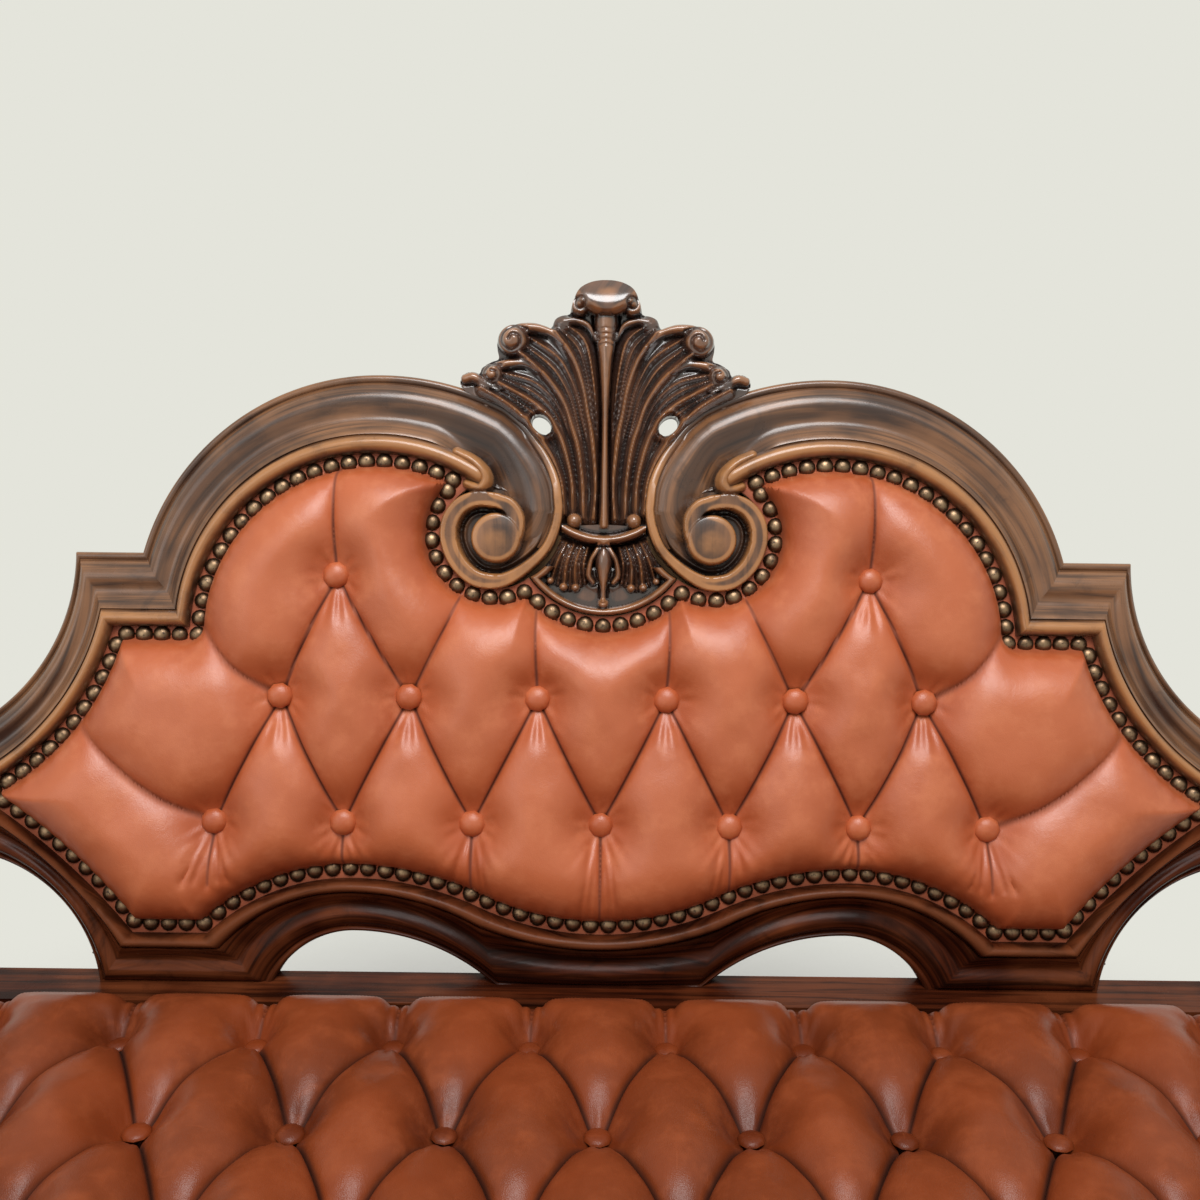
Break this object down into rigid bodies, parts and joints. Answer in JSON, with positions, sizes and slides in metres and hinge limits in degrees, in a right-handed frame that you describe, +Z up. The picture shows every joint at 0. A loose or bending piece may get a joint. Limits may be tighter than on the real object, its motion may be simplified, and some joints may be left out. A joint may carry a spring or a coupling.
{
  "type": "leather sofa",
  "caption": "Settee with a carved cartouche back, deep-buttoned leather back and seat, domed nails, open arms and cabriole front legs.",
  "frame": {"origin": "on the floor, under the middle of the bounding box", "axes": "+X to the sitter's left along the length, +Y to the back, +Z up; the front faces -Y"},
  "size_m": [1.279, 0.7158, 0.9765],
  "materials": {
    "show_wood": "waxed",
    "frame_wood": "bare",
    "leather": "satin",
    "nail_brass": "antique",
    "steel": "plain",
    "stuffing": "woven"
  },
  "bodies": {
    "root": {"back_arch_right": "show_wood", "back_arch_left": "show_wood", "back_horn_right": "show_wood", "back_horn_left": "show_wood", "back_lower_horn_right": "show_wood", "back_lower_horn_left": "show_wood", "back_bottom_rail": "show_wood", "crest_shell": "show_wood", "crest_cup": "show_wood", "ledge_board": "show_wood", "front_rail": "show_wood", "side_rail_right": "show_wood", "side_rail_left": "show_wood", "back_post_right": "show_wood", "back_post_left": "show_wood", "front_leg_right": "show_wood", "front_leg_left": "show_wood", "arm_right": "show_wood", "arm_left": "show_wood", "arm_stump_right": "show_wood", "arm_stump_left": "show_wood", "back_board": "frame_wood", "tack_strip": "frame_wood", "joint_dowels": "frame_wood", "rear_rail": "frame_wood", "seat_brace": "frame_wood", "seat_cleats": "frame_wood", "corner_blocks": "frame_wood", "back_leather": "leather", "back_buttons": "leather", "outside_back": "leather", "arm_pad_right": "leather", "arm_pad_left": "leather", "seat_leather": "leather", "seat_buttons": "leather", "back_nails": "nail_brass", "seat_nails": "nail_brass", "arm_nails": "nail_brass", "board_screws": "steel", "block_screws": "steel", "seat_springs": "steel", "spring_clips": "steel", "leg_glides": "steel", "back_foam": "stuffing", "seat_foam": "stuffing", "seat_hessian": "stuffing", "dust_cover": "stuffing"}
  },
  "joints": []
}
